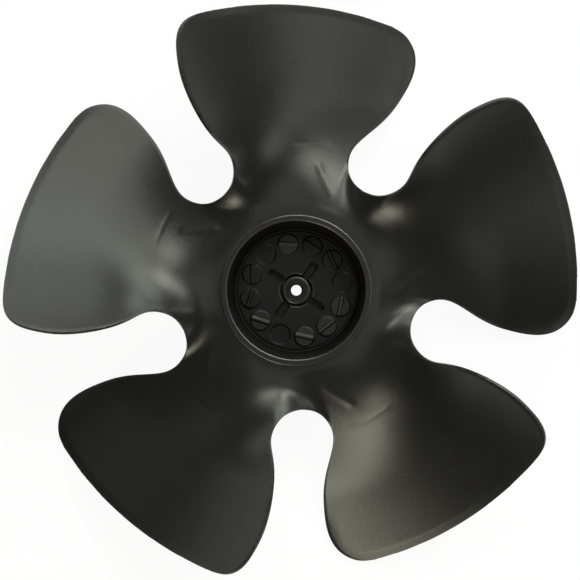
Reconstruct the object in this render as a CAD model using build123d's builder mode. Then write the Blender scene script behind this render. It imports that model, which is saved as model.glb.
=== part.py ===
"""Condenser fan blade: a pressed five-blade sheet with a plastic hub cup moulded round its middle hole.

Millimetres, +Z along the fan's axis towards the open mouth of the cup. The origin is the centre of the
shaft bore on the face of the boss that seats against the motor. It lies on its back, mouth up.
"""
import math
import os

from build123d import *

# Pressed sheet
blade_count = 5
first_blade_angle = 90.0
tip_radius = 115.0
sheet_thickness = 1.2
pitch_angle = 30.0
camber_rate = 0.6
twist_angle = 4.0
bend_lead = 2.0
bend_length = 18.0
bend_rounding = 0.3
leading_corner_radius = 11.5
trailing_corner_radius = 14.5
slot_bottom_radius = 47.8
slot_angle = 38.2
plate_margin = 1.4
side_margin = 0.6
trim_margin = 3.0

# Hub cup
bore_radius = 2.15
boss_radius = 5.5
boss_rise = 0.8
boss_chamfer = 0.6
rim_radius = 30.2
rim_width = 2.5
rim_height = 14.5
rim_proud = 3.0
rim_chamfer = 0.7
grip_depth = 1.8
grip_height = 2.4
grip_slant = 0.8
wall_draft = 2.8
wall_thickness = 2.2
back_inset = 1.5
moat_width = 1.0
moat_depth = 1.0
floor_thickness = 4.2
key_count = 5
key_radius = 1.2
fit_gap = 0.1

# Drive slots and tool marks in the cup's floor
groove_width = 1.0
drive_depth = 2.5
drive_slot_width = 3.0
drive_slot_reach = 13.1
drive_slot_angle = 54.0
mark_radius = 4.0
mark_inset = 0.9
mark_rise = 0.5
ridge_width = 1.4
ridge_rise = 0.6
dimple_depth = 0.5
dimple_angles = (10.0, 130.0, 250.0)
ridge_turns = {
    40.0: -66.0,
    70.0: -34.0,
    100.0: -5.0,
    160.0: 90.0,
    190.0: 72.0,
    220.0: -18.0,
    280.0: -12.0,
    310.0: 38.0,
    340.0: 80.0,
}

# Levels and reaches that follow from the sizes above
blade_step = 360.0 / blade_count
sheet_top = rim_height - rim_proud
sheet_bottom = sheet_top - sheet_thickness
sheet_middle = sheet_top - sheet_thickness / 2
floor_level = -boss_rise
back_level = floor_level - floor_thickness
plate_reach = slot_bottom_radius * math.cos(math.radians(blade_step / 2)) + plate_margin
bend_start = plate_reach + bend_lead
bend_end = bend_start + bend_length
blade_end = tip_radius + trim_margin
neck_end = bend_end + bend_lead
root_half_width = plate_reach * math.tan(math.radians(blade_step / 2)) - side_margin
neck_spread = 0.75 * math.tan(math.radians(blade_step / 2))
neck_rows = 20
row_points = 9
rim_inner_radius = rim_radius - rim_width
collar_radius = rim_radius - grip_depth
wall_foot_radius = rim_inner_radius - wall_draft
floor_radius = wall_foot_radius - moat_width
mark_circle_radius = floor_radius - mark_inset - mark_radius


def polar(radius, angle):
    """Point at a radius and an angle in degrees."""
    turn = math.radians(angle)
    return (radius * math.cos(turn), radius * math.sin(turn))


def bend_rise(x):
    """Share of the blade's height reached across the neck: a rounded bend, a straight ramp, a rounded bend."""
    step = min(max((x - bend_start) / (bend_end - bend_start), 0.0), 1.0)
    pace = 1.0 / (1.0 - bend_rounding)
    if step < bend_rounding:
        return pace * step**2 / (2 * bend_rounding)
    if step > 1.0 - bend_rounding:
        return 1.0 - pace * (1.0 - step) ** 2 / (2 * bend_rounding)
    return pace * (step - bend_rounding / 2)


def blade_height(x, y):
    """Height of the sheet's middle surface over the flat plate.

    The blade is a cone with its tip on the fan's axis: the height is the radius times the integral of the
    slope's tangent from the twist axis, and the slope grows evenly with the angle from the blade's axis.
    """
    radius = math.hypot(x, y)
    angle = math.degrees(math.atan2(y, x))
    slope = math.radians(pitch_angle + camber_rate * angle)
    level_slope = math.radians(pitch_angle + camber_rate * twist_angle)
    return bend_rise(x) * radius * math.log(math.cos(level_slope) / math.cos(slope)) / camber_rate


def sheet_face_height(x, y, side):
    """Height of the upper (side 1) or lower (side -1) face of the sheet at a point of its plan."""
    reach = 0.05
    along = (blade_height(x + reach, y) - blade_height(x - reach, y)) / (2 * reach)
    across = (blade_height(x, y + reach) - blade_height(x, y - reach)) / (2 * reach)
    half = sheet_thickness / 2 * math.sqrt(1 + along**2 + across**2)
    return blade_height(x, y) + side * half


def sheet_row(x, half_width, side):
    """Points across the upper or lower face of an untrimmed blade, at a distance from the fan's axis."""
    ys = [half_width * (2 * k / (row_points - 1) - 1) for k in range(row_points)]
    return [Vector(x, y, sheet_middle + sheet_face_height(x, y, side)) for y in ys]


def neck_half_width(x):
    """Half the width of the untrimmed neck, which widens but stays clear of the next blade's neck."""
    return root_half_width + neck_spread * (x - plate_reach)


def neck_face(side):
    """Upper or lower face of the neck, fitted to its formula."""
    xs = [plate_reach + (neck_end - plate_reach) * i / (neck_rows - 1) for i in range(neck_rows)]
    rows = [sheet_row(x, neck_half_width(x), side) for x in xs]
    return Face.make_surface_from_array_of_points(rows, tol=0.01, min_deg=3, max_deg=3)


# One untrimmed blade: a formed neck, a straight-ruled cone beyond it, and walls that close the two faces
tip_half_width = neck_half_width(neck_end) * blade_end / neck_end
necks = [neck_face(1), neck_face(-1)]
tip_edges = [Edge.make_spline(sheet_row(blade_end, tip_half_width, side)) for side in (1, -1)]
cones = [Face.make_surface_from_curves(neck.edges().sort_by(Axis.X)[-1], tip) for neck, tip in zip(necks, tip_edges)]
walls = [Face.make_surface_from_curves(*[neck.edges().sort_by(Axis.X)[0] for neck in necks])]
walls.append(Face.make_surface_from_curves(*tip_edges))
for pair in (necks, cones):
    for end in (0, -1):
        walls.append(Face.make_surface_from_curves(*[face.edges().sort_by(Axis.Y)[end] for face in pair]))

with BuildPart() as blade:
    add(Solid(Shell([*necks, *cones, *walls])))

# The gap between two blades: a round slot end and the two blade edges that face each other
with BuildSketch() as gap:
    with BuildLine():
        slot_end = ThreePointArc(
            polar(0.496 * tip_radius, slot_angle - 11.9),
            polar(slot_bottom_radius, slot_angle),
            polar(0.498 * tip_radius, slot_angle + 12.1),
        )
        leading_edge = Spline(
            slot_end @ 0,
            polar(0.574 * tip_radius, slot_angle - 10.3),
            polar(0.687 * tip_radius, slot_angle - 8.9),
            polar(0.826 * tip_radius, slot_angle - 10.1),
            polar(1.05 * tip_radius, slot_angle - 16.6),
            tangents=(-(slot_end % 0), Vector(1, -0.2)),
        )
        trailing_edge = Spline(
            slot_end @ 1,
            polar(0.573 * tip_radius, slot_angle + 10.5),
            polar(0.683 * tip_radius, slot_angle + 6.2),
            polar(0.8 * tip_radius, slot_angle + 5.0),
            polar(1.05 * tip_radius, slot_angle + 9.6),
            tangents=(slot_end % 1, Vector(*polar(1, blade_step + 2))),
        )
        mouth = polar(1.3 * tip_radius, slot_angle)
        Line(leading_edge @ 1, mouth)
        Line(mouth, trailing_edge @ 1)
    make_face()

# Flat outline of the sheet
with BuildSketch() as blank:
    Circle(tip_radius)
    with PolarLocations(0, blade_count, start_angle=first_blade_angle):
        add(gap.sketch, mode=Mode.SUBTRACT)
    for leading, radius in ((True, leading_corner_radius), (False, trailing_corner_radius)):
        corners = []
        for corner in blank.vertices():
            turn = (math.degrees(math.atan2(corner.Y, corner.X)) - first_blade_angle) % blade_step
            at_tip = abs(math.hypot(corner.X, corner.Y) - tip_radius) < 0.01
            if at_tip and (8 < turn < slot_angle if leading else slot_angle < turn < blade_step - 8):
                corners.append(corner)
        fillet(corners, radius)

# Shape that fills the sheet's middle hole: a round collar with keys
with BuildSketch() as collar:
    Circle(collar_radius)
    with PolarLocations(collar_radius, key_count, start_angle=first_blade_angle):
        Circle(key_radius)

with BuildPart() as blade_sheet:
    with BuildSketch(Plane.XY.offset(sheet_bottom)):
        RegularPolygon(plate_reach, blade_count, major_radius=False, rotation=first_blade_angle + blade_step / 2)
    extrude(amount=sheet_thickness)
    with PolarLocations(0, blade_count, start_angle=first_blade_angle):
        add(blade.part)
    with BuildSketch(Plane.XY.offset(sheet_middle - tip_radius)):
        add(blank.sketch)
    extrude(amount=2 * tip_radius, mode=Mode.INTERSECT)
    with BuildSketch(Plane.XY.offset(sheet_middle)):
        offset(collar.sketch, amount=fit_gap)
    extrude(amount=2 * sheet_thickness, both=True, mode=Mode.SUBTRACT)

with BuildPart() as hub:
    with BuildSketch(Plane.XZ):
        with BuildLine():
            Polyline(
                (0, back_level),
                (wall_foot_radius + wall_thickness - back_inset, back_level),
                (collar_radius - grip_slant / 2, sheet_bottom - grip_height),
                (rim_radius, sheet_bottom - grip_height + grip_slant),
                (rim_radius, sheet_bottom),
                (collar_radius, sheet_bottom),
                (collar_radius, sheet_top),
                (rim_radius, sheet_top),
                (rim_radius, rim_height),
                (rim_inner_radius, rim_height),
                (wall_foot_radius, floor_level - moat_depth),
                (floor_radius, floor_level - moat_depth),
                (floor_radius, floor_level),
                (boss_radius, floor_level),
                (boss_radius, 0),
                (0, 0),
                close=True,
            )
        make_face()
    revolve(axis=Axis.Z)
    with BuildSketch(Plane.XY.offset(sheet_bottom)):
        add(collar.sketch)
        Circle(collar_radius - fit_gap, mode=Mode.SUBTRACT)
    extrude(amount=sheet_thickness)
    rim_edges = hub.edges().filter_by(GeomType.CIRCLE).group_by(Axis.Z)[-1]
    chamfer(rim_edges, rim_chamfer)
    with BuildSketch(Plane.XY.offset(floor_level)):
        Circle(boss_radius + groove_width)
        Circle(boss_radius, mode=Mode.SUBTRACT)
        with PolarLocations(0, 4, start_angle=drive_slot_angle):
            with Locations(((boss_radius + drive_slot_reach) / 2 + groove_width / 4, 0)):
                SlotOverall(drive_slot_reach - boss_radius, drive_slot_width)
        Circle(boss_radius, mode=Mode.SUBTRACT)
    extrude(amount=-drive_depth, mode=Mode.SUBTRACT)
    with BuildSketch(Plane.XY.offset(floor_level)):
        for angle in ridge_turns:
            with Locations(polar(mark_circle_radius, angle)):
                Circle(mark_radius)
    extrude(amount=mark_rise)
    with BuildSketch(Plane.XY.offset(floor_level + mark_rise)):
        for angle, turn in ridge_turns.items():
            with Locations(polar(mark_circle_radius, angle)):
                Rectangle(2 * mark_radius - 0.2, ridge_width, rotation=turn)
    extrude(amount=ridge_rise)
    with BuildSketch(Plane.XY.offset(floor_level)):
        for angle in dimple_angles:
            with Locations(polar(mark_circle_radius, angle)):
                Circle(mark_radius)
    extrude(amount=-dimple_depth, mode=Mode.SUBTRACT)
    with Locations((0, 0, back_level)):
        Cylinder(bore_radius, -back_level, align=(Align.CENTER, Align.CENTER, Align.MIN), mode=Mode.SUBTRACT)
    boss_edges = hub.edges().filter_by(GeomType.CIRCLE).filter_by_position(Axis.Z, -0.01, 0.01)
    chamfer(boss_edges.sort_by(SortBy.RADIUS)[-1], boss_chamfer)

blade_sheet.part.label = "blade_sheet"
hub.part.label = "hub"

os.makedirs("parts", exist_ok=True)
export_step(blade_sheet.part, "parts/blade_sheet.step")
export_step(hub.part, "parts/hub.step")
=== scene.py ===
"""Condenser fan blade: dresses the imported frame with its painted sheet, moulded hub and stage."""
import math

import bpy
import numpy as np
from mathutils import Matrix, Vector


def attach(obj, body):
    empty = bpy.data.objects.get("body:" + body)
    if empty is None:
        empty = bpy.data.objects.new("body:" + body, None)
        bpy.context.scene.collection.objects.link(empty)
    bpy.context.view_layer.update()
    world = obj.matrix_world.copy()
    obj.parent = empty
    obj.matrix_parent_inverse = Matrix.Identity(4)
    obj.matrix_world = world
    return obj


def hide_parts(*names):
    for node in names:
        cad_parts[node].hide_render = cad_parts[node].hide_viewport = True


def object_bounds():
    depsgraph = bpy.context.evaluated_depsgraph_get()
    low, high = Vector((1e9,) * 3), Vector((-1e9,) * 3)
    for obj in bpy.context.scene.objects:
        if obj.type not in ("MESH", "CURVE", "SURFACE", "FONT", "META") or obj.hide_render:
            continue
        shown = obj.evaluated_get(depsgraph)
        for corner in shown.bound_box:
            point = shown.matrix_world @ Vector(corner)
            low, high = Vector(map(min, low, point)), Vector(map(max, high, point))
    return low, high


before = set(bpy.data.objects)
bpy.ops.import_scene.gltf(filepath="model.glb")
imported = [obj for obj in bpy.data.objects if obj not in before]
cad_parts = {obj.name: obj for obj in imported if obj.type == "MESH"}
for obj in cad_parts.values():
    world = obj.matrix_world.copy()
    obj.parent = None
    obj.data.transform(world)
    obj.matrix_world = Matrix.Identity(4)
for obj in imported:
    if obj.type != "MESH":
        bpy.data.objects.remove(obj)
cad_low, cad_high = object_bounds()

bl_info = {
    "name": "Condenser Fan Blade",
    "version": (1, 0, 0),
    "blender": (4, 5, 0),
    "location": "View3D > Sidebar > Fan Blade",
    "description": "Makes a painted five-blade fan sheet with a moulded hub cup, and a plain stage",
    "category": "Add Mesh",
}

PICTURE_PIXELS = 580
MILLIMETRE = 0.001

BLADES = 5
BLADE_STEP = 2 * math.pi / BLADES
SLOT_ANGLE = math.radians(38.2)

# Blade edges from slot bottom to tip: radius in millimetres, angle in degrees from the blade's axis
LEADING_EDGE = (
    (47.8, 38.2), (48.84, 32.96), (51.66, 28.9), (55.67, 26.63), (59.83, 26.24),
    (65.62, 27.79), (72.21, 29.02), (79.92, 29.29), (87.97, 28.91), (95.47, 28.03),
    (102.46, 26.72), (108.8, 25.13), (112.12, 23.68), (114.26, 21.76), (115.0, 19.62),
)
TRAILING_EDGE = (
    (47.8, -33.8), (48.87, -28.33), (51.86, -24.16), (56.12, -21.94), (60.56, -21.73),
    (66.07, -23.37), (74.81, -26.62), (81.89, -28.16), (90.09, -28.76), (97.99, -28.69),
    (104.19, -27.95), (108.6, -26.7), (112.06, -24.82), (114.25, -22.55), (115.0, -20.1),
)
SLOT_RADIUS = LEADING_EDGE[0][0] * MILLIMETRE
TIP_RADIUS = LEADING_EDGE[-1][0] * MILLIMETRE

# Grids: rows of the plate, rows and columns of a blade, points round the hub, rows of its floor
PLATE_ROWS, BLADE_ROWS, BLADE_COLUMNS = 22, 120, 56
HUB_POINTS, FLOOR_ROWS = 432, 96

# Neck: metres per radian that its start moves out and its end moves in on the leading side,
# the softness of that move and of the neck's start, and the powers that shape its two ends
NECK_START_SHIFT, NECK_END_SHIFT = 0.0066, 0.005
SHIFT_SOFTNESS, START_SOFTNESS = 0.008, 0.07
START_POWER, END_POWER = 1.33, 2.2
PLATE_FREED = 0.0302, 0.036

# Slot bottoms: half the angle over which two blades fade together, and the radii where that ends
FADE_ANGLE = math.radians(12.4)
FADE_RADII = 0.05, 0.059

# Press marks: sizes in metres, angles from the blade's axis in radians unless they say degrees
DENT_RADIUS, DENT_WIDTH, DENT_DEPTH = 0.0594, 0.0009, 0.0001
DENT_START = math.radians(-16), math.radians(-11)
DENT_END = 0.02, 0.09
CREASE_RADII, CREASE_DEGREES = (0.0412, 0.0508), (-19.0, -10.0)
CREASE_WIDTH, CREASE_HEIGHT = 0.0014, 0.00016
LIP_SOFTNESS = 0.0004
LIP_RADII, LIP_END = (0.085, 0.103), (0.22, 0.42)
LIP_END_DEGREES = 24
EDGE_POINTS, LIP_FIRST_POINT, TIP_POINTS = 400, 160, 160

# Cut edge: share of the inset along the sides, the radii where the insets set in, worn width
SIDE_INSET_SHARE = 0.4
SIDE_INSET_RADII, TIP_INSET_RADII = (0.06, 0.08), (0.09, 0.11)
WORN_WIDTH = 0.0012

# Raised tool marks on the hub's floor: angle round the hub and turn of the ridge in degrees,
# share of painted highlight, high where a ridge catches the light. The plain recessed marks have an
# angle only.
RIDGED_MARKS = (
    (40, -66, 0.1), (70, -34, 0), (100, -5, 0.8), (160, 90, 0), (190, 72, 0.1),
    (220, -18, 0.7), (280, -12, 1), (310, 38, 0.9), (340, 80, 0.8),
)
PLAIN_MARKS = (10, 130, 250)
MARK_STEP, RIDGE_STEP, RIDGE_HALF_WIDTH = 0.0005, 0.0006, 0.0007
# Share of painted highlight on a raised mark's disc and on its ridge
DISC_HIGHLIGHT, RIDGE_HIGHLIGHT = 0.3, 0.3

# Drive slots: start beyond the boss, end from the axis. Groove's lip: shift, width, share of
# painted highlight
DRIVE_START, DRIVE_END, DRIVES = 0.00175, 0.01185, 4
GROOVE_LIP_SHIFT, GROOVE_LIP_WIDTH, GROOVE_LIP_HIGHLIGHT = 0.0002, 0.0003, 0.8
STEP_SOFTNESS = 0.00016

# Painted highlight over the six points of a rounded corner of the hub's section
CORNER_HIGHLIGHT = (0.2, 1, 1, 1, 1, 0.2)

# Lamps: azimuth and angle from the top in degrees, width and height in metres, light on a card
# that faces the lamp, tint
WARM, PLAIN, COOL = (1, 0.965, 0.875), (1, 1, 1), (0.96, 0.985, 1)
LAMPS = (
    ("lamp_left_low", 225, 45, 0.2, 0.2, 0.04, WARM),
    ("lamp_left_side", 251, 51, 0.34, 0.34, 0.59, WARM),
    ("lamp_left_high", 238, 38, 0.25, 0.25, 0.205, WARM),
    ("lamp_right_side", 0, 49, 0.3, 0.3, 0.146, PLAIN),
    ("lamp_right_high", 40, 36, 0.3, 0.3, 0.36, PLAIN),
    ("lamp_right_middle", 20, 58, 0.3, 0.3, 0.108, PLAIN),
    ("lamp_right_low", 40, 82, 0.5, 0.3, 0.3, COOL),
    ("lamp_front_low", 330, 82, 0.5, 0.3, 0.16, PLAIN),
    ("lamp_corner_high", 60, 44, 0.3, 0.3, 0.624, PLAIN),
    ("lamp_corner_low", 60, 64, 0.4, 0.3, 0.387, COOL),
    ("lamp_corner_ground", 66, 82, 0.4, 0.3, 0.4, COOL),
    ("lamp_back_right", 75, 58, 0.3, 0.3, 0.235, COOL),
    ("lamp_back_high", 92, 34, 0.3, 0.3, 0.437, PLAIN),
    ("lamp_back_middle", 92, 50, 0.4, 0.3, 0.213, PLAIN),
    ("lamp_back_lower", 92, 66, 0.4, 0.3, 0.293, COOL),
    ("lamp_back_low", 92, 82, 0.6, 0.3, 0.242, COOL),
    ("lamp_back_left", 125, 80, 0.6, 0.3, 0.144, PLAIN),
    ("lamp_far_left", 170, 82, 0.5, 0.3, 0.08, PLAIN),
    ("lamp_left_ground", 146, 82, 0.4, 0.3, 0.06, PLAIN),
    ("lamp_front_right", 291, 67, 0.5, 0.4, 0.025, PLAIN),
    ("lamp_front_side", 312, 62, 0.25, 0.3, 0.07, PLAIN),
    ("lamp_left_fill", 158, 52, 0.4, 0.4, 0.03, PLAIN),
    ("lamp_overhead", 0, 8, 0.5, 0.5, 0.125, PLAIN),
)
LAMP_DISTANCE = 1.2
WORLD_LEVEL = 0.01
FLOOR_REACH = 6.0
FLOOR_WHITE = 0.93
SENSOR_WIDTH = 36
CLIP_NEAR, CLIP_FAR = 0.01, 50


def length(name, description, default):
    """A length property in metres."""
    return bpy.props.FloatProperty(
        name=name, description=description, default=default, unit="LENGTH", precision=5
    )


def angle(name, description, degrees):
    """An angle property, stored in radians."""
    return bpy.props.FloatProperty(
        name=name,
        description=description,
        default=math.radians(degrees),
        subtype="ANGLE",
        unit="ROTATION",
    )


def factor(name, description, default, **limits):
    """A plain number property."""
    return bpy.props.FloatProperty(
        name=name, description=description, default=default, subtype="FACTOR", **limits
    )


def pixels(name, description, default):
    """A property in pixels of the picture."""
    return bpy.props.FloatProperty(
        name=name, description=description, default=default, subtype="PIXEL"
    )


def colour(name, description, default):
    """A linear colour property."""
    return bpy.props.FloatVectorProperty(
        name=name, description=description, default=default, subtype="COLOR", size=3, min=0, max=1
    )


class SheetSettings(bpy.types.PropertyGroup):
    """Sizes and paint of the pressed sheet."""

    thickness: length("Thickness", "Thickness of the sheet", 0.0012)
    middle: length("Middle Level", "Height of the flat plate's middle surface", 0.0109)
    hole_radius: length("Hole Radius", "Radius of the hole that the hub is moulded into", 0.0285)
    pitch: angle("Pitch", "Slope of the blade on its own axis", 30)
    camber: factor("Camber", "Growth of the slope per angle round the axis", 0.6)
    twist_axis: angle("Twist Axis", "Angle at which the blade stays level with the plate", 3.65)
    neck_start: length("Neck Start", "Radius where the flat plate begins to turn", 0.0315)
    neck_end: length("Neck End", "Radius where the blade has its full slope, on its axis", 0.0885)
    lip_width: length("Lip Width", "Width of the band along the tip that droops", 0.0036)
    lip_slope: factor("Lip Slope", "Droop of the band along the tip, per width", 0.13)
    edge_inset: length("Edge Inset", "How far the cut walls' slope draws the outline in", 0.0003)
    edge_radius: length("Edge Radius", "Rounding that the paint gives the cut edges", 0.00025)
    paint: colour("Paint", "Colour of the satin paint", (0.0104, 0.0105, 0.0092))
    sheen_tint: colour("Sheen Tint", "Tint of the paint's reflection", (0.985, 1.0, 0.87))
    roughness: factor("Roughness", "Roughness of the satin paint", 0.27, min=0, max=1)


class HubSettings(bpy.types.PropertyGroup):
    """Sizes and plastic of the moulded hub cup."""

    bore_radius: length("Bore Radius", "Radius of the shaft bore", 0.00215)
    boss_radius: length("Boss Radius", "Radius of the boss round the bore", 0.0055)
    groove_radius: length("Groove Radius", "Outer radius of the groove round the boss", 0.0065)
    floor_radius: length("Floor Radius", "Radius of the cup's floor", 0.0239)
    floor_level: length("Floor Level", "Height of the cup's floor", -0.0008)
    drive_depth: length("Drive Depth", "Depth of the groove and of the four drive slots", 0.0025)
    drive_width: length("Drive Width", "Width of a drive slot", 0.003)
    drive_angle: angle("Drive Angle", "Angle of the first drive slot", 54)
    mark_radius: length("Mark Radius", "Radius of a tool mark", 0.004)
    mark_circle: length("Mark Circle", "Radius of the circle of tool marks", 0.019)
    plastic: colour("Plastic", "Colour of the moulded plastic", (0.0026, 0.0025, 0.0022))
    roughness: factor("Roughness", "Roughness of the plastic", 0.48, min=0, max=1)


class StageSettings(bpy.types.PropertyGroup):
    """Camera, lamps and floor."""

    camera_distance: length("Camera Distance", "Distance of the camera above the sheet", 0.95)
    view_width: length("View Width", "Width that the picture shows at the sheet", 0.2323)
    axis_right: pixels("Axis Right", "Pixels from the middle to the fan's axis, to the right", 6.3)
    axis_up: pixels("Axis Up", "Pixels from the middle to the fan's axis, upwards", -0.3)
    lamp_level: factor("Lamp Level", "Strength of all the lamps together", 1.5, min=0)
    floor: colour("Floor", "Colour of the floor", (0.9, 0.9, 0.9))


def curve_through(points, count):
    """Smooth curve through points.

    A natural cubic spline on the chord length: its second derivatives come from one linear solve,
    and each stretch is the usual cubic blend of its end points and end derivatives.
    """
    points = np.asarray(points, float)
    knots = np.r_[0, np.cumsum(np.linalg.norm(np.diff(points, axis=0), axis=1))]
    step = np.diff(knots)
    system = np.eye(len(points))
    inner = np.arange(1, len(points) - 1)
    system[inner, inner - 1] = step[:-1]
    system[inner, inner] = 2 * (step[:-1] + step[1:])
    system[inner, inner + 1] = step[1:]
    change = np.diff(points, axis=0) / step[:, None]
    load = np.zeros_like(points)
    load[1:-1] = 6 * np.diff(change, axis=0)
    bend = np.linalg.solve(system, load)
    at = np.linspace(0, knots[-1], count)
    part = np.clip(np.searchsorted(knots, at) - 1, 0, len(step) - 1)
    width = step[part][:, None]
    right = (at - knots[part])[:, None] / width
    left = 1 - right
    blend = left * points[part] + right * points[part + 1]
    bow = (left**3 - left) * bend[part] + (right**3 - right) * bend[part + 1]
    return blend + width**2 / 6 * bow


def edge_curve(edge, count):
    """Plan of a blade edge: the smooth curve through its points."""
    polar = np.asarray(edge) * (MILLIMETRE, math.pi / 180)
    return curve_through(polar[:, :1] * np.c_[np.cos(polar[:, 1]), np.sin(polar[:, 1])], count)


def edge_angle(edge, radii):
    """Angle of a blade edge at each radius, read from its curve."""
    curve = edge_curve(edge, 4000)
    reach = np.maximum.accumulate(np.hypot(curve[:, 0], curve[:, 1]))
    return np.interp(radii, reach, np.arctan2(curve[:, 1], curve[:, 0]))


def smooth_step(value, low, high):
    """Rise from 0 to 1 between low and high, level at both ends: 3t^2 - 2t^3."""
    t = np.clip((value - low) / (high - low), 0, 1)
    return t * t * (3 - 2 * t)


def cone_height(radius, turn, sheet):
    """Height of a bare blade over the plate.

    A cone with its tip on the fan's axis: the radius times the integral of the slope's tangent from
    the twist axis, where the slope grows evenly with the angle from the blade's axis.
    """
    steepest_down, steepest_up = -1.2, 1.3
    slope = np.clip(sheet.pitch + sheet.camber * turn, steepest_down, steepest_up)
    level = sheet.pitch + sheet.camber * sheet.twist_axis
    return radius * np.log(math.cos(level) / np.cos(slope)) / sheet.camber


def neck_share(radius, turn, sheet):
    """Share of the blade's height reached across the neck, 1 - (1 - t^start)^end with two powers.

    t runs from the edge of the hub to well out on the blade and begins softly; on the leading side
    it starts further out and ends sooner.
    """
    leading = turn + np.sqrt(turn**2 + SHIFT_SOFTNESS)
    start = sheet.neck_start + NECK_START_SHIFT * leading
    end = sheet.neck_end - NECK_END_SHIFT * leading
    t = (radius - start) / (end - start)
    t = np.minimum((t + np.sqrt(t**2 + START_SOFTNESS**2)) / 2, 1)
    t = t * smooth_step(radius, *PLATE_FREED)
    return 1 - (1 - t**START_POWER) ** END_POWER


def formed_height(radius, turn, sheet):
    """Height of the formed sheet: each blade's own, faded into its neighbour's at the slots."""
    behind_angle = BLADE_STEP - SLOT_ANGLE
    near = 1 - smooth_step(radius, *FADE_RADII)
    ahead = near * smooth_step(turn, SLOT_ANGLE - FADE_ANGLE, SLOT_ANGLE + FADE_ANGLE)
    behind = near * smooth_step(-turn, behind_angle - FADE_ANGLE, behind_angle + FADE_ANGLE)
    own, after, before = (
        neck_share(radius, a, sheet) * cone_height(radius, a, sheet)
        for a in (turn, turn - BLADE_STEP, turn + BLADE_STEP)
    )
    return own * (1 - ahead - behind) + after * ahead + before * behind


def press_marks(radius, turn, sheet):
    """Height of the marks that the press left on a blade.

    A dent beyond the neck and a short crease on its trailing side are bell curves across their own
    lines. The lip along the tip droops by an even slope, from a soft bend that runs on round the
    trailing corner.
    """
    dent = np.exp(-(((radius - DENT_RADIUS) / DENT_WIDTH) ** 2))
    dent = dent * smooth_step(turn, *DENT_START) * (1 - smooth_step(turn, *DENT_END))
    plan = radius * np.exp(1j * turn)
    start, end = np.array(CREASE_RADII) * np.exp(1j * np.radians(CREASE_DEGREES))
    run = end - start
    along = np.clip(((plan - start) * np.conj(run)).real / abs(run) ** 2, 0, 1)
    crease = np.exp(-((abs(plan - start - along * run) / CREASE_WIDTH) ** 2))
    side = edge_curve(TRAILING_EDGE, EDGE_POINTS)[LIP_FIRST_POINT:]
    tip_ends = np.radians((TRAILING_EDGE[-1][1], LIP_END_DEGREES))
    tip = TIP_RADIUS * np.exp(1j * np.linspace(*tip_ends, TIP_POINTS))
    rim = np.concatenate([side[:, 0] + 1j * side[:, 1], tip])
    past = sheet.lip_width - np.abs(plan[..., None] - rim).min(-1)
    droop = sheet.lip_slope * (past + np.sqrt(past**2 + LIP_SOFTNESS**2)) / 2
    droop = droop * smooth_step(radius, *LIP_RADII) * (1 - smooth_step(turn, *LIP_END))
    return CREASE_HEIGHT * crease - DENT_DEPTH * dent - droop


def sheet_points(radii, low, high, worn, sheet):
    """Points of the sheet on all five blades, each with its wear.

    A row runs from the low to the high angle at its radius, at the formed height plus the press
    marks, and is turned round the axis once for each blade. Wear falls evenly from the cut edge.
    """
    low, high = low[:, None], high[:, None]
    turn = low + (high - low) * np.linspace(0, 1, BLADE_COLUMNS + 1)
    radius = np.broadcast_to(radii[:, None], turn.shape)
    inset = np.minimum(np.minimum(turn - low, high - turn) * radius, radii[-1] - radius)
    wear_and_highlight = worn * np.clip(1 - inset / WORN_WIDTH, 0, 1)
    height = sheet.middle + formed_height(radius, turn, sheet) + press_marks(radius, turn, sheet)
    spin = math.pi / 2 + BLADE_STEP * np.arange(BLADES)[None, :, None]
    angles = turn[:, None] + spin
    x = radius[:, None] * np.cos(angles)
    y = radius[:, None] * np.sin(angles)
    return np.stack(np.broadcast_arrays(x, y, height[:, None], wear_and_highlight[:, None]), -1)


def grid_faces(index, closed_rows=False):
    """Quads of a grid of vertex numbers; closed_rows joins the last column to the first."""
    if closed_rows:
        index = np.c_[index, index[:, :1]]
    corners = [index[:-1, :-1], index[1:, :-1], index[1:, 1:], index[:-1, 1:]]
    return np.stack(corners, -1).reshape(-1, 4)


def new_piece(name, points, faces, wear_and_highlight, node, material):
    """Mesh object from whole arrays, riding on the fan and standing for one node of the frame.

    The per-point share holds paint wear on the sheet, 0 where the paint is as it was made and 1
    where it is most rubbed, and a painted highlight on the hub, 1 where strongest.
    """
    mesh = bpy.data.meshes.new(name)
    mesh.from_pydata(points.reshape(-1, 3), [], faces.reshape(-1, 4))
    mesh.polygons.foreach_set("use_smooth", np.ones(len(mesh.polygons), bool))
    mesh.materials.append(material)
    stored = mesh.attributes.new("wear_and_highlight", "FLOAT", "POINT")
    stored.data.foreach_set("value", np.ravel(wear_and_highlight).astype(np.float32))
    mesh.validate()
    mesh.update()
    piece = bpy.data.objects.new(name, mesh)
    bpy.context.scene.collection.objects.link(piece)
    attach(piece, "root")
    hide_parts(node)
    return piece


def new_material(name):
    """Empty node material with its Principled shader and Object coordinates."""
    material = bpy.data.materials.new(name)
    material.use_nodes = True
    nodes = material.node_tree.nodes
    nodes.clear()
    output = nodes.new("ShaderNodeOutputMaterial")
    shader = nodes.new("ShaderNodeBsdfPrincipled")
    place = nodes.new("ShaderNodeTexCoord")
    material.node_tree.links.new(shader.outputs["BSDF"], output.inputs["Surface"])
    return material, shader, place.outputs["Object"]


def noise(material, place, scale, detail=3.0, roughness=0.55):
    """Noise texture on the given coordinates; scale is in cycles per metre."""
    node = material.node_tree.nodes.new("ShaderNodeTexNoise")
    node.inputs["Scale"].default_value = scale
    node.inputs["Detail"].default_value = detail
    node.inputs["Roughness"].default_value = roughness
    material.node_tree.links.new(place, node.inputs["Vector"])
    return node.outputs["Fac"]


def wear_and_highlight_share(material):
    """Per-point share stored on the points: paint wear on the sheet, painted highlight on the hub.
    """
    node = material.node_tree.nodes.new("ShaderNodeAttribute")
    node.attribute_name = "wear_and_highlight"
    return node.outputs["Fac"]


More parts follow.
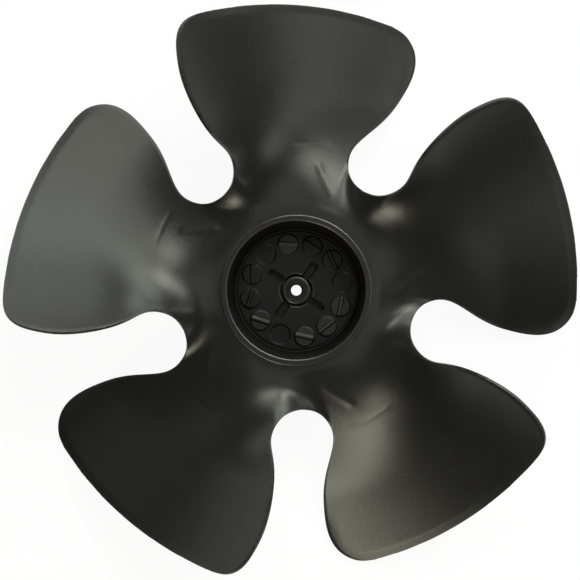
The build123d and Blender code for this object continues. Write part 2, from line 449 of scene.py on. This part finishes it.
def combine(material, operation, first, second):
    """Two factors joined by a math operation."""
    node = material.node_tree.nodes.new("ShaderNodeMath")
    node.operation = operation
    material.node_tree.links.new(first, node.inputs[0])
    material.node_tree.links.new(second, node.inputs[1])
    return node.outputs["Value"]


def ramp(material, factor, low, high, from_low=0.0, from_high=1.0):
    """Factor carried from one range to another."""
    node = material.node_tree.nodes.new("ShaderNodeMapRange")
    node.inputs["From Min"].default_value = from_low
    node.inputs["From Max"].default_value = from_high
    node.inputs["To Min"].default_value = low
    node.inputs["To Max"].default_value = high
    material.node_tree.links.new(factor, node.inputs["Value"])
    return node.outputs["Result"]


def blend_colour(material, factor, first, second):
    """Mix of two colours by a factor; the first may be another mix."""
    node = material.node_tree.nodes.new("ShaderNodeMix")
    node.data_type = "RGBA"
    first_socket, second_socket = (socket for socket in node.inputs if socket.type == "RGBA")
    if isinstance(first, bpy.types.NodeSocket):
        material.node_tree.links.new(first, first_socket)
    else:
        first_socket.default_value = (*first, 1)
    second_socket.default_value = (*second, 1)
    material.node_tree.links.new(factor, node.inputs[0])
    return next(socket for socket in node.outputs if socket.type == "RGBA")


def bump(material, height, distance, strength, under=None):
    """Bump from a height, over another bump where one is given."""
    node = material.node_tree.nodes.new("ShaderNodeBump")
    node.inputs["Distance"].default_value = distance
    node.inputs["Strength"].default_value = strength
    material.node_tree.links.new(height, node.inputs["Height"])
    if under is not None:
        material.node_tree.links.new(under, node.inputs["Normal"])
    return node.outputs["Normal"]


def satin_paint(sheet):
    """Satin black paint: fine grain, uneven gloss, dust in the coat, edges rubbed a bit lighter."""
    material, shader, place = new_material("satin_black_paint")
    link = material.node_tree.links.new
    base = np.array(sheet.paint)
    deep, pale, dusty, thin = base * 0.88, base * 1.12, base * 2.5, base * 2.4
    gloss_change = 0.02
    cloud = noise(material, place, scale=70, detail=5)
    grain = noise(material, place, scale=650, detail=3, roughness=0.65)
    specks = noise(material, place, scale=1300, detail=1)
    dust = ramp(material, specks, 0, 1, from_low=0.76, from_high=0.82)
    patchy = ramp(material, grain, 0, 1, from_low=0.4, from_high=0.62)
    rubbed_and_highlit = combine(material, "MULTIPLY", wear_and_highlight_share(material), patchy)
    coat = blend_colour(material, cloud, deep, pale)
    coat = blend_colour(material, dust, coat, dusty)
    link(blend_colour(material, rubbed_and_highlit, coat, thin), shader.inputs["Base Color"])
    gloss = ramp(material, cloud, sheet.roughness - gloss_change, sheet.roughness + gloss_change)
    link(gloss, shader.inputs["Roughness"])
    peel = bump(material, grain, distance=0.0003, strength=0.11)
    lumps = bump(material, dust, distance=0.00005, strength=0.3, under=peel)
    link(lumps, shader.inputs["Normal"])
    shader.inputs["Specular IOR Level"].default_value = 0.333
    shader.inputs["Specular Tint"].default_value = (*sheet.sheen_tint, 1)
    return material


def moulded_plastic(hub):
    """Black moulded plastic: fine tool texture, slow changes of gloss, and painted highlights,
    lighter and glossier, on raised marks and edges.
    """
    material, shader, place = new_material("black_moulded_plastic")
    link = material.node_tree.links.new
    base = np.array(hub.plastic)
    deep, pale, highlight_colour = base * 0.8, base * 1.2, base * 5
    gloss_change, gloss_gain = 0.06, -0.24
    cloud = noise(material, place, scale=120, detail=4)
    # Painted highlight: the stored share makes the plastic lighter there, and glossier
    patchy = ramp(material, cloud, 0.7, 1)
    rubbed_and_highlit = combine(material, "MULTIPLY", wear_and_highlight_share(material), patchy)
    skin = blend_colour(material, cloud, deep, pale)
    link(blend_colour(material, rubbed_and_highlit, skin, highlight_colour), shader.inputs["Base Color"])
    matt = ramp(material, cloud, hub.roughness - gloss_change, hub.roughness + gloss_change)
    gloss = combine(material, "ADD", matt, ramp(material, rubbed_and_highlit, 0, gloss_gain))
    link(gloss, shader.inputs["Roughness"])
    grain = noise(material, place, scale=2600, detail=3)
    link(bump(material, grain, distance=0.00012, strength=0.2), shader.inputs["Normal"])
    link(ramp(material, rubbed_and_highlit, 0.2, 0.9), shader.inputs["Specular IOR Level"])
    return material


class FANBLADE_OT_sheet(bpy.types.Operator):
    """Make the pressed and painted five-blade sheet"""

    bl_idname = "fanblade.sheet"
    bl_label = "Pressed Sheet"

    def execute(self, context):
        sheet = context.scene.fan_sheet
        plate_rows = np.linspace(sheet.hole_radius, SLOT_RADIUS, PLATE_ROWS)
        share = smooth_step(np.linspace(0, 1, BLADE_ROWS + 1)[1:], 0, 1)
        blade_rows = plate_rows[-1] + share * (TIP_RADIUS - sheet.edge_inset - plate_rows[-1])

        # The outline is drawn in a little, so that the sloping cut edge stays inside the solids
        side_inset = SIDE_INSET_SHARE * sheet.edge_inset
        side_turn = side_inset * smooth_step(blade_rows, *SIDE_INSET_RADII) / blade_rows
        edge_rows = blade_rows + sheet.edge_inset * smooth_step(blade_rows, *TIP_INSET_RADII)
        trailing = edge_angle(TRAILING_EDGE, edge_rows) + side_turn
        leading = edge_angle(LEADING_EDGE, edge_rows) - side_turn

        slots = np.full(PLATE_ROWS, SLOT_ANGLE)
        plate = sheet_points(plate_rows, slots - BLADE_STEP, slots, 0, sheet)[:, :, :-1]
        blades = sheet_points(blade_rows, trailing, leading, 1, sheet)
        points = np.concatenate([plate.reshape(-1, 4), blades.reshape(-1, 4)])

        # The plate's last ring is the first row of every blade
        numbers = np.arange(len(points))
        plate_count = PLATE_ROWS * BLADES * BLADE_COLUMNS
        plate_index = numbers[:plate_count].reshape(PLATE_ROWS, -1)
        blade_index = numbers[plate_count:].reshape(BLADE_ROWS, BLADES, BLADE_COLUMNS + 1)
        ring = plate_index[-1].reshape(BLADES, BLADE_COLUMNS)
        roots = np.concatenate([ring, np.roll(ring[:, :1], -1, axis=0)], axis=1)
        whole = np.concatenate([roots[None], blade_index])
        faces = [grid_faces(plate_index, closed_rows=True)]
        faces += [grid_faces(whole[:, k]) for k in range(BLADES)]

        piece = new_piece(
            "painted_sheet",
            points[:, :3],
            np.concatenate(faces),
            points[:, 3],
            "blade_sheet",
            satin_paint(sheet),
        )
        wall = piece.modifiers.new("Wall", "SOLIDIFY")
        wall.thickness = sheet.thickness
        wall.offset = 0
        edges = piece.modifiers.new("Edges", "BEVEL")
        edges.width = sheet.edge_radius
        edges.segments = 2
        edges.limit_method = "ANGLE"
        edges.angle_limit = math.radians(50)
        return {"FINISHED"}


def rounded_profile(corners, cuts):
    """Closed profile with rounded corners, six points to each.

    Each corner becomes a quadratic curve between two points cut back along its sides, with one more
    point beyond each end so that the flat stretches stay flat.
    """
    curve_points, flat_reach = 4, 1.5
    cuts = cuts[:, None]
    back = np.roll(corners, 1, axis=0) - corners
    ahead = np.roll(corners, -1, axis=0) - corners
    back /= np.linalg.norm(back, axis=1, keepdims=True)
    ahead /= np.linalg.norm(ahead, axis=1, keepdims=True)
    t = np.linspace(0, 1, curve_points)[None, :, None]
    start = (corners + back * cuts)[:, None]
    end = (corners + ahead * cuts)[:, None]
    curve = (1 - t) ** 2 * start + 2 * t * (1 - t) * corners[:, None] + t**2 * end
    lead = (corners + back * cuts * flat_reach)[:, None]
    tail = (corners + ahead * cuts * flat_reach)[:, None]
    return np.concatenate([lead, curve, tail], axis=1)


def soft_inside(gap):
    """1 inside an outline and 0 outside it, by a smooth ramp across the gap to it."""
    return 1 - smooth_step(gap, -STEP_SOFTNESS, STEP_SOFTNESS)


def floor_height(x, y, hub):
    """Height of the cup's floor, and the share of it that gets a painted highlight.

    The flat floor, less the ring groove and four round-ended slots, less the plain recessed marks,
    plus the raised marks with a ridge across each; every step is a smooth ramp about a third of a
    millimetre wide.
    """
    radius = np.hypot(x, y)
    groove_low, groove_high = hub.groove_radius - STEP_SOFTNESS, hub.groove_radius + STEP_SOFTNESS
    groove = 1 - smooth_step(radius, groove_low, groove_high)
    turns = hub.drive_angle + math.pi / 2 * np.arange(DRIVES).reshape(-1, 1, 1)
    along = x * np.cos(turns) + y * np.sin(turns)
    across = y * np.cos(turns) - x * np.sin(turns)
    beyond = along - np.clip(along, hub.boss_radius + DRIVE_START, DRIVE_END)
    slots = soft_inside(np.hypot(beyond, across) - hub.drive_width / 2).max(0)
    height = hub.floor_level - hub.drive_depth * np.maximum(groove, slots)

    def from_mark(places):
        return x - hub.mark_circle * np.cos(places), y - hub.mark_circle * np.sin(places)

    plain = np.radians(PLAIN_MARKS).reshape(-1, 1, 1)
    recess = soft_inside(np.hypot(*from_mark(plain)) - hub.mark_radius)
    height = height - MARK_STEP * recess.max(0)
    places, tilts = np.radians(np.array(RIDGED_MARKS)[:, :2]).T.reshape(2, -1, 1, 1)
    away_x, away_y = from_mark(places)
    disc = soft_inside(np.hypot(away_x, away_y) - hub.mark_radius)
    offside = np.abs(away_y * np.cos(tilts) - away_x * np.sin(tilts))
    ridge = disc * soft_inside(offside - RIDGE_HALF_WIDTH)
    height = height + (MARK_STEP * disc + RIDGE_STEP * ridge).max(0)

    # Painted highlight on the raised discs and ridges, more on marks whose ridges catch the light
    mark_highlight = np.array(RIDGED_MARKS)[:, 2].reshape(-1, 1, 1)
    rubbed_and_highlit = (mark_highlight * (DISC_HIGHLIGHT * disc + RIDGE_HIGHLIGHT * ridge)).max(0)
    # Painted highlight along the groove's outer lip
    lip = np.exp(-(((radius - hub.groove_radius - GROOVE_LIP_SHIFT) / GROOVE_LIP_WIDTH) ** 2))
    return height, np.maximum(rubbed_and_highlit, GROOVE_LIP_HIGHLIGHT * lip * (1 - slots))


def hub_section(hub):
    """Half section of the cup: radius, level, rounding in millimetres and painted highlight of each
    corner.

    It runs from the back of the bore over the boss, the floor, the wall and the rim, round the
    groove that grips the sheet, and down the outside to the back.
    """
    back, rim = -0.005, 0.0145
    chamfer, moat = 0.0006, 0.001
    ring_inner, ring_middle, ring_outer, ring_depth = 0.00372, 0.00386, 0.004, 0.00016
    wall_top, rim_radius, grip_radius = 0.0277, 0.0302, 0.0284
    grip_top, grip_bottom, flange_bottom = 0.0115, 0.0103, 0.0087
    wall_outside, wall_level, back_radius = 0.028, 0.0079, 0.0256
    floor = hub.floor_level
    return np.array(
        [
            (hub.bore_radius, back, 0.3, 0),
            (hub.bore_radius, -chamfer, 0.12, 0),
            (hub.bore_radius + chamfer, 0, 0.12, 0),
            (ring_inner, 0, 0.04, 0.2),
            (ring_middle, -ring_depth, 0.03, 0),
            (ring_outer, 0, 0.04, 0.3),
            (hub.boss_radius, 0, 0.4, 1),
            (hub.boss_radius, floor - hub.drive_depth, 0.12, 0),
            (hub.floor_radius, floor, 0.45, 0.8),
            (hub.floor_radius, floor - moat, 0.2, 0),
            (hub.floor_radius + moat, floor - moat, 0.25, 0),
            (wall_top, rim, 0.4, 1),
            (rim_radius, rim, 0.4, 1),
            (rim_radius, grip_top, 0.3, 0.2),
            (grip_radius, grip_top, 0.1, 0),
            (grip_radius, grip_bottom, 0.1, 0),
            (rim_radius, grip_bottom, 0.3, 0),
            (rim_radius, flange_bottom, 0.3, 0),
            (wall_outside, wall_level, 0.4, 0),
            (back_radius, back, 1.0, 0),
        ]
    )


class FANBLADE_OT_hub(bpy.types.Operator):
    """Make the moulded hub cup"""

    bl_idname = "fanblade.hub"
    bl_label = "Moulded Hub"

    def execute(self, context):
        hub = context.scene.fan_hub
        section = hub_section(hub)
        rounded = rounded_profile(section[:, :2], section[:, 2] * MILLIMETRE)
        # Painted highlight on the section's corners: rim, boss, floor edge and boss rings,
        # strongest mid-corner
        rubbed_and_highlit = section[:, 3:] * CORNER_HIGHLIGHT

        # The floor's own rows fit in after the boss's eight corners, level with it at both ends
        boss_corners, end_gap, row_gap = 8, 0.00001, 0.0001
        nudge = (end_gap, 0) * np.arange(2)[:, None]
        rounded[boss_corners - 1, 4:] = rounded[boss_corners - 1, 4] + nudge
        rounded[boss_corners, :2] = rounded[boss_corners, 1] - nudge[::-1]
        first = rounded[:boss_corners].reshape(-1, 2)
        last = rounded[boss_corners:].reshape(-1, 2)
        rows = np.linspace(first[-1, 0] + row_gap, last[0, 0] - row_gap, FLOOR_ROWS)
        levels = np.full(FLOOR_ROWS, hub.floor_level)
        profile = np.concatenate([first, np.c_[rows, levels], last])
        rubbed_and_highlit = np.insert(rubbed_and_highlit.ravel(), len(first), np.zeros(FLOOR_ROWS))

        turn = np.linspace(0, 2 * math.pi, HUB_POINTS, endpoint=False)
        x = profile[:, :1] * np.cos(turn)
        y = profile[:, :1] * np.sin(turn)
        z = np.repeat(profile[:, 1:], HUB_POINTS, axis=1)
        wear_and_highlight = np.repeat(rubbed_and_highlit[:, None], HUB_POINTS, axis=1)
        on_floor = slice(len(first), len(first) + FLOOR_ROWS)
        z[on_floor], wear_and_highlight[on_floor] = floor_height(x[on_floor], y[on_floor], hub)
        index = np.arange(x.size).reshape(x.shape)
        faces = grid_faces(np.r_[index, index[:1]], closed_rows=True)
        points = np.stack([x, y, z], -1)
        plastic = moulded_plastic(hub)
        new_piece("moulded_hub", points, faces, wear_and_highlight, "hub", plastic)
        return {"FINISHED"}


def floor_finish(stage):
    """Pale floor: matt to the light, near white to the camera and to mirrors, shadow kept."""
    material = bpy.data.materials.new("pale_floor")
    material.use_nodes = True
    nodes = material.node_tree.nodes
    link = material.node_tree.links.new
    nodes.clear()
    output = nodes.new("ShaderNodeOutputMaterial")
    matt = nodes.new("ShaderNodeBsdfDiffuse")
    matt.inputs["Color"].default_value = (*stage.floor, 1)
    glow = nodes.new("ShaderNodeEmission")
    glow.inputs["Color"].default_value = (1, 1, 1, 1)
    glow.inputs["Strength"].default_value = 1
    path = nodes.new("ShaderNodeLightPath").outputs
    seen = combine(material, "MAXIMUM", path["Is Camera Ray"], path["Is Glossy Ray"])
    seen = combine(material, "MAXIMUM", seen, path["Is Transmission Ray"])
    mix = nodes.new("ShaderNodeMixShader")
    link(ramp(material, seen, 0, FLOOR_WHITE), mix.inputs["Fac"])
    link(matt.outputs["BSDF"], mix.inputs[1])
    link(glow.outputs["Emission"], mix.inputs[2])
    link(mix.outputs["Shader"], output.inputs["Surface"])
    return material


def soft_lamp(name, azimuth, from_top, width, height, light, tint, stage):
    """Area lamp aimed at the fan.

    light is what falls on a card that faces the lamp, so the lamp's power is pi d^2 times that.
    """
    lamp = bpy.data.lights.new(name, "AREA")
    lamp.shape = "RECTANGLE"
    lamp.size = width
    lamp.size_y = height
    lamp.color = tint
    lamp.energy = math.pi * LAMP_DISTANCE**2 * light * stage.lamp_level
    holder = bpy.data.objects.new(name, lamp)
    around, down = math.radians(azimuth), math.radians(from_top)
    away = Vector(
        (
            math.sin(down) * math.cos(around),
            math.sin(down) * math.sin(around),
            math.cos(down),
        )
    )
    holder.location = away * LAMP_DISTANCE
    holder.rotation_euler = away.to_track_quat("Z", "Y").to_euler()
    bpy.context.scene.collection.objects.link(holder)


class FANBLADE_OT_stage(bpy.types.Operator):
    """Make the floor, the lamps and the camera"""

    bl_idname = "fanblade.stage"
    bl_label = "Studio Stage"

    def execute(self, context):
        scene = context.scene
        stage = scene.fan_stage
        reach = np.array([(-1, -1), (1, -1), (1, 1), (-1, 1)]) * FLOOR_REACH
        ground = bpy.data.meshes.new("floor")
        ground.from_pydata(np.c_[reach, np.full(4, cad_low.z)], [], [(0, 1, 2, 3)])
        ground.materials.append(floor_finish(stage))
        floor = bpy.data.objects.new("floor", ground)
        scene.collection.objects.link(floor)

        for lamp in LAMPS:
            soft_lamp(*lamp, stage)

        world = bpy.data.worlds.new("studio")
        world.use_nodes = True
        background = world.node_tree.nodes["Background"]
        background.inputs["Color"].default_value = (1, 1, 1, 1)
        background.inputs["Strength"].default_value = WORLD_LEVEL
        scene.world = world

        lens = bpy.data.cameras.new("camera")
        lens.sensor_width = SENSOR_WIDTH
        lens.lens = lens.sensor_width * stage.camera_distance / stage.view_width
        lens.shift_x = -stage.axis_right / PICTURE_PIXELS
        lens.shift_y = -stage.axis_up / PICTURE_PIXELS
        lens.clip_start = CLIP_NEAR
        lens.clip_end = CLIP_FAR
        camera = bpy.data.objects.new("camera", lens)
        camera.location = (0, 0, scene.fan_sheet.middle + stage.camera_distance)
        scene.collection.objects.link(camera)
        scene.camera = camera
        scene.view_settings.view_transform = "Standard"
        return {"FINISHED"}


class FANBLADE_PT_panel(bpy.types.Panel):
    """Lists the pieces of the fan blade and the stage"""

    bl_idname = "FANBLADE_PT_panel"
    bl_label = "Fan Blade"
    bl_space_type = "VIEW_3D"
    bl_region_type = "UI"
    bl_category = "Fan Blade"

    def draw(self, context):
        for operator, name in (
            (FANBLADE_OT_sheet, "fan_sheet"),
            (FANBLADE_OT_hub, "fan_hub"),
            (FANBLADE_OT_stage, "fan_stage"),
        ):
            box = self.layout.box()
            box.operator(operator.bl_idname)
            settings = getattr(context.scene, name)
            for key in settings.__annotations__:
                box.prop(settings, key)


CLASSES = (
    SheetSettings,
    HubSettings,
    StageSettings,
    FANBLADE_OT_sheet,
    FANBLADE_OT_hub,
    FANBLADE_OT_stage,
    FANBLADE_PT_panel,
)


def register():
    for cls in CLASSES:
        bpy.utils.register_class(cls)
    bpy.types.Scene.fan_sheet = bpy.props.PointerProperty(type=SheetSettings)
    bpy.types.Scene.fan_hub = bpy.props.PointerProperty(type=HubSettings)
    bpy.types.Scene.fan_stage = bpy.props.PointerProperty(type=StageSettings)


def unregister():
    del bpy.types.Scene.fan_stage
    del bpy.types.Scene.fan_hub
    del bpy.types.Scene.fan_sheet
    for cls in reversed(CLASSES):
        bpy.utils.unregister_class(cls)


def main():
    register()
    bpy.ops.fanblade.sheet()
    bpy.ops.fanblade.hub()
    bpy.ops.fanblade.stage()


if __name__ == "__main__":
    main()
